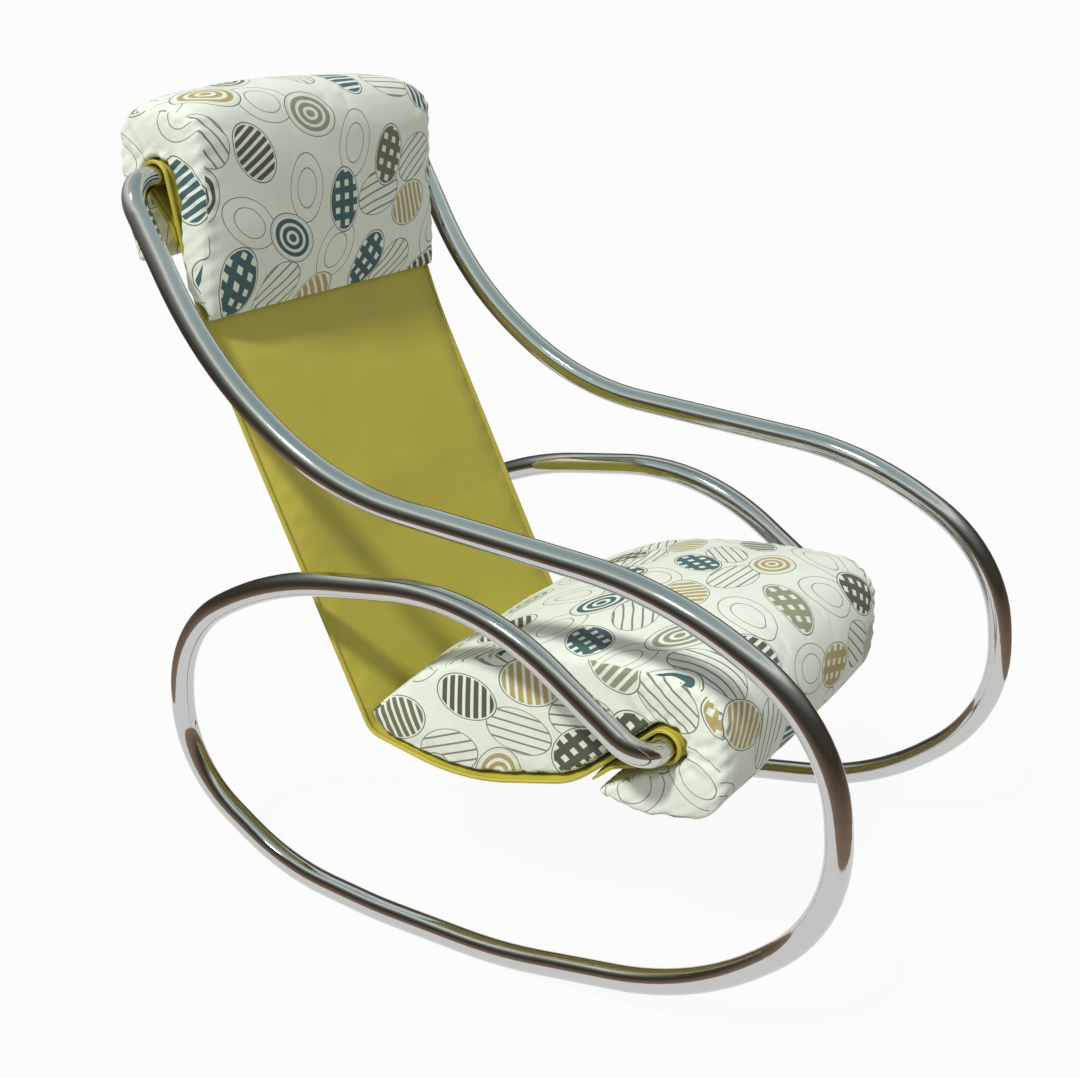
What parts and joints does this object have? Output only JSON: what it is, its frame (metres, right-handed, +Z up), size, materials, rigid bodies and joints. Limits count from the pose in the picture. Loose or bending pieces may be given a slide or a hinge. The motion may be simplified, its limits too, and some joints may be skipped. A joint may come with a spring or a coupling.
{
  "type": "sling rocking chair",
  "caption": "Rocking chair of looped chromed tube with a padded sling, a headrest bolster over the top bar and a seat cushion hooked on the front bar.",
  "frame": {"origin": "on the floor, at the centre of the chair's box seen from above", "axes": "+Z up, the chair faces -Y, the sitter's right is -X"},
  "size_m": [0.594, 1.0153, 1.003],
  "materials": {
    "chromed_tube": "polished",
    "plain_steel": "satin",
    "leathercloth": "satin",
    "printed_cloth": "matte",
    "padding": "matte",
    "thread": "matte"
  },
  "bodies": {
    "frame": {"right_frame_tube": "chromed_tube", "left_frame_tube": "chromed_tube", "top_bar_spigot": "plain_steel", "front_bar_spigot": "plain_steel", "spigot_screws": "plain_steel", "sling_face_panel": "leathercloth", "sling_wadding": "padding", "sling_back_panel": "leathercloth", "sling_welt_right": "leathercloth", "sling_welt_left": "leathercloth", "sling_top_seam": "thread", "sling_front_seam": "thread"},
    "headrest": {"headrest_foam": "padding", "headrest_cover": "printed_cloth", "headrest_slot_lining": "printed_cloth", "headrest_side_right": "printed_cloth", "headrest_side_left": "printed_cloth"},
    "seat_cushion": {"seat_foam": "padding", "seat_cover_top": "printed_cloth", "seat_cover_base": "printed_cloth", "seat_side_right": "printed_cloth", "seat_side_left": "printed_cloth", "seat_closing_stitches": "thread"}
  },
  "joints": [
    {"name": "headrest_lift", "type": "slide", "parent": "frame", "child": "headrest", "axis": [0, 0, 1], "range_m": [0, 0.2]},
    {"name": "seat_cushion_lift", "type": "hinge", "parent": "frame", "child": "seat_cushion", "pos_m": [0, -0.266, 0.328], "axis": [1, 0, 0], "range_deg": [0, 4]}
  ]
}
